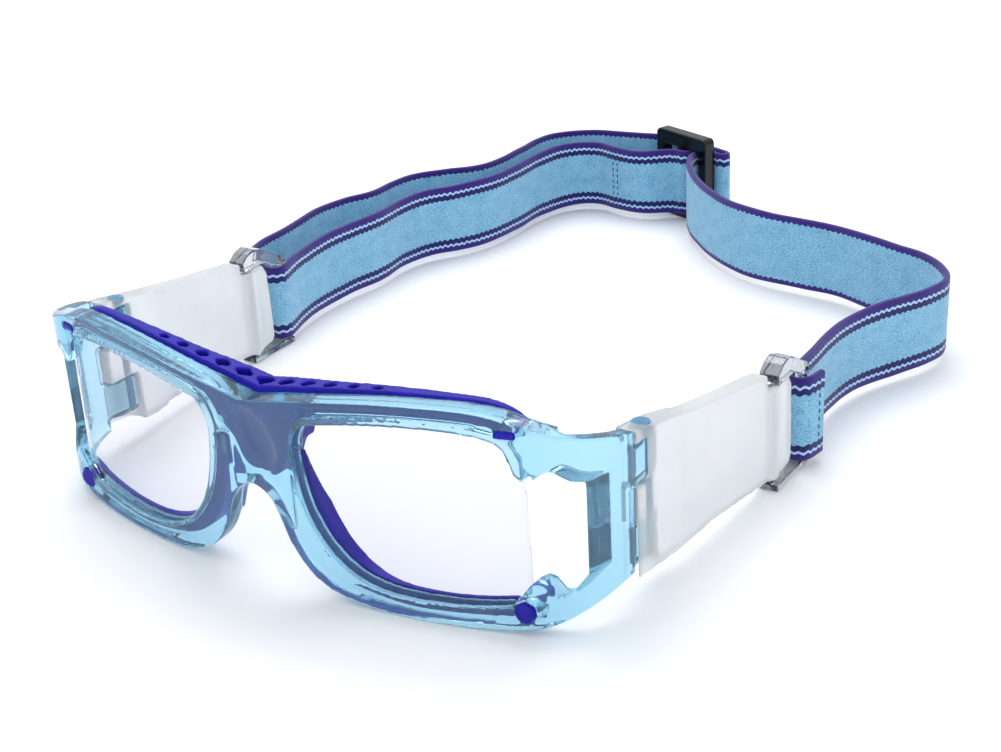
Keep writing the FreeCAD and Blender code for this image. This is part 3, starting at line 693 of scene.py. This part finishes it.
# ---- the grip bands beside the side windows -------------------------------------------------
def grip_band(side, material):
    """A stippled band on the inner face of an end piece, facing the side window."""
    low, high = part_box("front_frame")
    face_x = high.x - GRIP_IN
    work = bmesh.new()
    bmesh.ops.create_grid(work, x_segments=10, y_segments=44, size=0.5)
    bmesh.ops.scale(work, vec=(GRIP_WIDTH, GRIP_HEIGHT, 1), verts=work.verts)
    for vertex in work.verts:
        bump = math.sin(vertex.co.x * 5200) * math.sin(vertex.co.y * 4300)
        vertex.co.z = GRIP_BUMP * bump
    bmesh.ops.rotate(work, matrix=Matrix.Rotation(math.pi / 2, 3, "X"), verts=work.verts)
    bmesh.ops.rotate(work, matrix=Matrix.Rotation(math.pi / 2, 3, "Z"), verts=work.verts)
    extruded = bmesh.ops.extrude_face_region(work, geom=work.faces[:])["geom"]
    bmesh.ops.translate(work, vec=(-GRIP_THICK, 0, 0),
                        verts=[v for v in extruded if isinstance(v, bmesh.types.BMVert)])
    bmesh.ops.translate(work, vec=(face_x, low.y + GRIP_BACK, high.z / 2 - GRIP_DOWN),
                        verts=work.verts)
    if side < 0:
        bmesh.ops.scale(work, vec=(-1, 1, 1), verts=work.verts)
    bmesh.ops.recalc_face_normals(work, faces=work.faces)
    mesh = bpy.data.meshes.new("grip_band")
    work.to_mesh(mesh)
    work.free()
    set_smooth(mesh)
    mesh.materials.append(material)
    piece = link("grip_band_right" if side > 0 else "grip_band_left", mesh)
    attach(piece, "front")


# ---- floor, light and camera ------------------------------------------------------------------
def build_floor():
    work = bmesh.new()
    bmesh.ops.create_grid(work, x_segments=2, y_segments=2, size=3.0)
    bmesh.ops.translate(work, vec=(0, 0, CAD_LOW.z - 0.02 * MM), verts=work.verts)
    mesh = bpy.data.meshes.new("floor")
    work.to_mesh(mesh)
    work.free()
    material, tree, shader = new_material("floor_paper", Roughness=0.9, Specular_IOR_Level=0.1)
    shade = ramp(tree, object_noise(tree, 3), [(0.3, (0.90, 0.915, 0.94)), (0.7, (0.93, 0.94, 0.96))])
    tree.links.new(shade, shader.inputs["Base Color"])
    mesh.materials.append(material)
    link("floor", mesh)


def area_light(name, place, aim, size, power, colour):
    data = bpy.data.lights.new(name, "AREA")
    data.shape = "RECTANGLE"
    data.size, data.size_y = size
    data.energy = power
    data.color = colour
    lamp = bpy.data.objects.new(name, data)
    lamp.location = place
    lamp.rotation_mode = "QUATERNION"
    lamp.rotation_quaternion = (Vector(aim) - Vector(place)).to_track_quat("-Z", "Y")
    bpy.context.scene.collection.objects.link(lamp)


def build_light():
    world = bpy.data.worlds.new("studio")
    bpy.context.scene.world = world
    world.use_nodes = True
    tree = world.node_tree
    sky = tree.nodes["Background"]
    place = tree.nodes.new("ShaderNodeTexCoord")
    parts = tree.nodes.new("ShaderNodeSeparateXYZ")
    tree.links.new(place.outputs["Generated"], parts.inputs[0])
    shade = ramp(tree, parts.outputs[2], [(0.0, (0.70, 0.74, 0.78)), (0.35, (0.86, 0.89, 0.93)),
                                          (0.8, (1.0, 1.0, 1.0))])
    tree.links.new(shade, sky.inputs["Color"])
    sky.inputs["Strength"].default_value = 0.95
    centre = (0, 0.1, 0.02)
    area_light("key", (-0.25, 0.45, 0.9), centre, (0.8, 0.6), 5.5, (1.0, 0.99, 0.97))
    area_light("fill", (0.8, -0.5, 0.5), centre, (0.5, 0.5), 1.6, (0.94, 0.97, 1.0))


def build_camera():
    azimuth = math.radians(CAMERA_AZIMUTH)
    elevation = math.radians(CAMERA_ELEVATION)
    back = Vector((math.sin(azimuth) * math.cos(elevation), -math.cos(azimuth) * math.cos(elevation),
                   math.sin(elevation)))
    right = (-back).cross(Vector((0, 0, 1))).normalized()
    up = right.cross(-back)
    turn = Matrix((right, up, back)).transposed() @ Matrix.Rotation(math.radians(CAMERA_ROLL), 3, "Z")
    data = bpy.data.cameras.new("camera")
    data.lens = CAMERA_LENS
    data.clip_start = 0.01
    camera = bpy.data.objects.new("camera", data)
    camera.matrix_world = Matrix.Translation(CAMERA_TARGET + back * CAMERA_DISTANCE) @ turn.to_4x4()
    bpy.context.scene.collection.objects.link(camera)
    bpy.context.scene.camera = camera


# ---- the whole ------------------------------------------------------------------------------------
def build():
    clear_blue = frame_plastic()
    glass = lens_plastic()
    rubber = pad_rubber()
    frosted = temple_plastic()
    pin = pin_plastic()
    clear = buckle_plastic()
    black = slider_plastic()
    grip = grip_plastic()
    moulded("front_frame", "frame_moulding", 0.32 * MM, 14, clear_blue, scoop_bridge)
    brow = moulded("brow_pad", "brow_cushion", 0.33 * MM, 6, rubber)
    for side, word in ((1, "right"), (-1, "left")):
        moulded("lens_" + word, "lens_pane_" + word, 0.33 * MM, 12, glass)
        cheek = moulded("cheek_pad_" + word, "cheek_cushion_" + word, 0.25 * MM, 6, rubber)
        moulded("temple_" + word, "side_plate_" + word + "_moulding", 0.33 * MM, 14, frosted)
        moulded("hinge_pin_" + word, "pin_" + word, 0.14 * MM, 3, pin)
        moulded("strap_buckle_" + word, "buckle_" + word + "_moulding", 0.22 * MM, 8, clear)
        grip_band(side, grip)
    moulded("slider", "slider_moulding", 0.22 * MM, 5, black)
    build_strap()
    build_floor()
    build_light()
    build_camera()
    bpy.context.scene.view_settings.view_transform = "Standard"


build()
